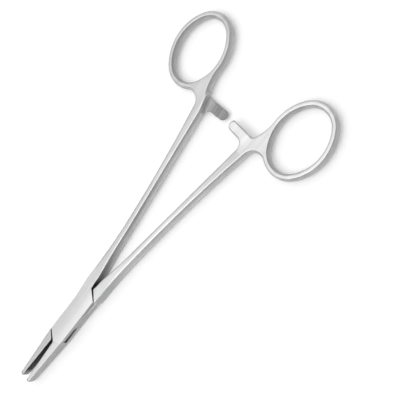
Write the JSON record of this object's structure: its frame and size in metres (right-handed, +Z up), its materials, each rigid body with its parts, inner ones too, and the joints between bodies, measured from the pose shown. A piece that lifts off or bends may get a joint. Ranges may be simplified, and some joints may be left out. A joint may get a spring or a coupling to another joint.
{
  "type": "surgical needle holder",
  "caption": "Ring-handled surgical needle holder with a box lock, short serrated jaws, tapering shanks and a ratchet between the finger rings, shown slightly open.",
  "frame": {"origin": "on the pivot axis, at the underside of the box lock", "axes": "+Y along the instrument from the jaws to the finger rings, on the line that halves the opening angle; +X to the ring of the half with the tongue; +Z up, out of the face with the flush pivot, along the pivot axis"},
  "size_m": [0.0884, 0.1788, 0.0062],
  "materials": {
    "satin_steel": "satin blasted and brushed stainless steel",
    "pin_steel": "ground flush with the box and brushed over"
  },
  "bodies": {
    "female": {"female_half": "satin_steel", "pivot_pin": "pin_steel"},
    "male": {"male_half": "satin_steel"}
  },
  "joints": [
    {"name": "box_lock_pivot", "type": "hinge", "parent": "female", "child": "male", "pos_m": [0, 0, 0.0031], "axis": [0, 0, -1], "range_deg": [-4.2, 30]}
  ]
}
